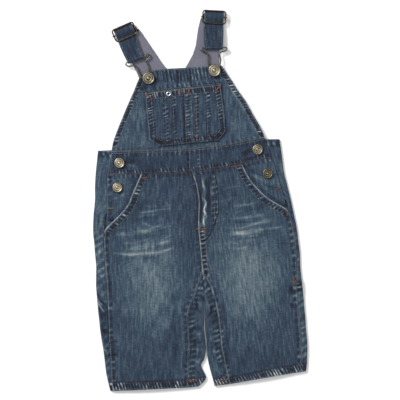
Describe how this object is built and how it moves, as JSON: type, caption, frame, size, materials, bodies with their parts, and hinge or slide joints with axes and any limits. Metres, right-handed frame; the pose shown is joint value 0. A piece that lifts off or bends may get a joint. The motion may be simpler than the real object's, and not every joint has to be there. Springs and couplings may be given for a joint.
{
  "type": "baby's denim bib overalls laid flat",
  "caption": "Small washed-denim bib overalls laid flat, with a chest pocket, slanted side pockets, mock fly, side-button waist, wire strap sliders and hooks.",
  "frame": {"origin": "middle of the garment's outline, on the surface it lies on", "axes": "+Z away from that surface and towards the viewer, +Y up the garment from the hems to the straps, +X to the viewer's right"},
  "size_m": [0.2788, 0.4956, 0.0088],
  "materials": {
    "denim": "washed twill, matt",
    "denim_dark": "washed twill, matt",
    "strap_lining": "brushed twill, matt",
    "antique_wire": "antique, satin",
    "button_metal": "antique nickel, satin"
  },
  "bodies": {
    "root": {"back_bib": "denim", "back_left": "denim", "back_right": "denim", "bib": "denim", "bib_button_left": "button_metal", "bib_button_right": "button_metal", "bib_pocket": "denim_dark", "fly": "denim", "front_left": "denim", "front_right": "denim", "hammer_loop": "denim_dark", "hook_left": "antique_wire", "hook_right": "antique_wire", "pocket_ring": "button_metal", "side_button_left": "button_metal", "side_button_right": "button_metal", "side_panel_left": "denim", "side_panel_right": "denim", "slider_left": "antique_wire", "slider_right": "antique_wire", "strap_facing_left": "strap_lining", "strap_facing_right": "strap_lining", "strap_left": "denim_dark", "strap_right": "denim_dark", "tool_pocket": "denim_dark", "waist_button_left": "button_metal", "waist_button_right": "button_metal", "waistband_front": "denim"}
  },
  "joints": []
}
